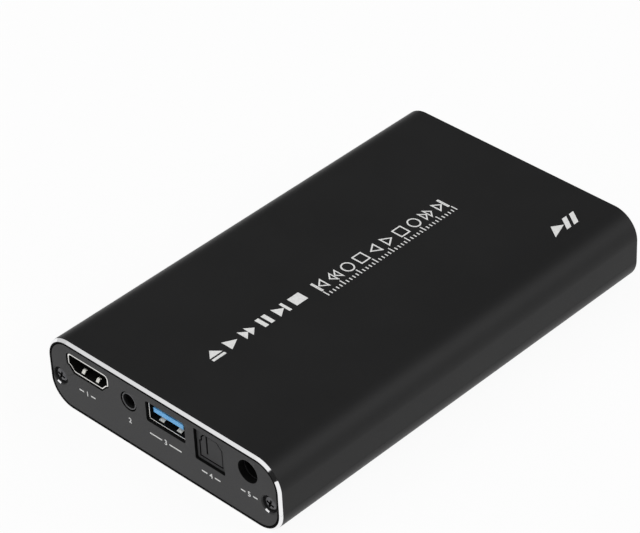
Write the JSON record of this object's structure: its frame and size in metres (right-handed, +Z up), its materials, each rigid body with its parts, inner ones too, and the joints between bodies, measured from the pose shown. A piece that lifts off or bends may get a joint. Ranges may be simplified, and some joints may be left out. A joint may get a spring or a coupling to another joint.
{
  "type": "media player with hard drive tray",
  "caption": "Pocket-sized hard disk media player: an extruded sleeve closed by end plates, with a sliding tray that carries the port board and a plug-in drive.",
  "frame": {"origin": "centre of the underside at rest on a flat surface", "axes": "+Z up, +Y along the body from the port end to the plain end, +X to the right seen from the port end"},
  "size_m": [0.082, 0.134, 0.022],
  "materials": {
    "anodised_black": "bead-blasted black anodised aluminium, machined bright at the end bevels",
    "plate_grey": "dark grey satin paint on a metal plate",
    "black_screw": "dark zinc-plated steel, slightly glossy",
    "bright_screw": "bright nickel-plated steel",
    "smoked_lens": "smoked dark red polycarbonate",
    "light_pipe": "frosted clear acrylic",
    "tray_plastic": "black moulded ABS",
    "foam": "dark grey closed-cell foam",
    "circuit_board": "green solder mask over glass fibre",
    "drive_circuit_board": "blue solder mask over glass fibre",
    "plated_shell": "stamped steel, bright tin or nickel plate",
    "gold_contact": "gold-plated bronze",
    "socket_black": "black glass-filled nylon",
    "jack_grey": "dark grey moulded nylon",
    "data_blue": "light blue moulded plastic",
    "chip_black": "black epoxy package",
    "heat_sink_black": "black anodised extruded aluminium",
    "ferrite": "grey ferrite",
    "can_aluminium": "bare drawn aluminium",
    "small_part": "brown ceramic with tinned ends",
    "cable_white": "white flat flexible cable",
    "socket_cream": "cream nylon",
    "drive_cast": "die-cast aluminium, as cast with machined faces",
    "drive_cover_steel": "pressed stainless steel",
    "platter_mirror": "polished recording disc",
    "machined_aluminium": "machined aluminium",
    "copper_coil": "enamelled copper wire",
    "ramp_plastic": "ivory liquid-crystal polymer",
    "spring_steel": "spring steel wire"
  },
  "bodies": {
    "housing": {"housing_sleeve": "anodised_black", "end_plate": "plate_grey", "end_plate_screws": "black_screw", "remote_window": "smoked_lens", "status_light_pipe": "light_pipe"},
    "tray": {"port_plate": "plate_grey", "port_plate_screws": "black_screw", "drive_tray": "tray_plastic", "drive_pads": "foam", "main_board": "circuit_board", "main_board_screws": "bright_screw", "video_socket_shell": "plated_shell", "video_socket_insert": "socket_black", "video_socket_contacts": "gold_contact", "av_jack_body": "jack_grey", "av_jack_contacts": "gold_contact", "data_socket_shell": "plated_shell", "data_socket_insert": "data_blue", "data_socket_contacts": "gold_contact", "optical_socket_body": "socket_black", "optical_shutter_spring": "spring_steel", "optical_transmitter": "chip_black", "power_jack_body": "socket_black", "power_jack_pin": "plated_shell", "power_jack_spring": "plated_shell", "drive_socket_body": "socket_black", "drive_socket_contacts": "gold_contact", "processor": "chip_black", "heat_sink": "heat_sink_black", "memory_chips": "chip_black", "flash_chip": "chip_black", "power_coils": "ferrite", "can_capacitors": "can_aluminium", "crystal": "can_aluminium", "board_small_parts": "small_part", "sensor_cable": "cable_white", "sensor_cable_sockets": "socket_cream", "sensor_board": "circuit_board", "remote_receiver": "smoked_lens", "status_light": "light_pipe"},
    "shutter": {"optical_shutter": "socket_black"},
    "drive": {"drive_base": "drive_cast", "drive_cover": "drive_cover_steel", "drive_cover_screws": "black_screw", "drive_board": "drive_circuit_board", "drive_board_chips": "chip_black", "drive_plug": "socket_black", "drive_plug_contacts": "gold_contact", "spindle_motor": "copper_coil", "voice_coil_yokes": "bright_screw", "head_ramp": "ramp_plastic"},
    "platters": {"drive_platters": "platter_mirror", "spindle_hub": "machined_aluminium", "platter_clamp": "machined_aluminium"},
    "arm": {"head_arm": "machined_aluminium", "voice_coil": "copper_coil"}
  },
  "joints": [
    {"name": "tray_slide", "type": "slide", "parent": "housing", "child": "tray", "axis": [0, -1, 0], "range_m": [0, 0.12]},
    {"name": "drive_unplug", "type": "slide", "parent": "tray", "child": "drive", "axis": [0, 1, 0], "range_m": [0, 0.0044]},
    {"name": "shutter_hinge", "type": "hinge", "parent": "tray", "child": "shutter", "pos_m": [0.0171, -0.0651, 0.01755], "axis": [1, 0, 0], "range_deg": [0, 80], "stiffness_Nm_per_rad": 0.00004, "springref_deg": -28.65},
    {"name": "platter_spin", "type": "hinge", "parent": "drive", "child": "platters", "pos_m": [0, 0.0217, 0.0095], "axis": [0, 0, 1], "continuous": true},
    {"name": "head_arm_swing", "type": "hinge", "parent": "drive", "child": "arm", "pos_m": [0.014, -0.0214, 0.0095], "axis": [0, 0, -1], "range_deg": [0, 30.3]}
  ]
}
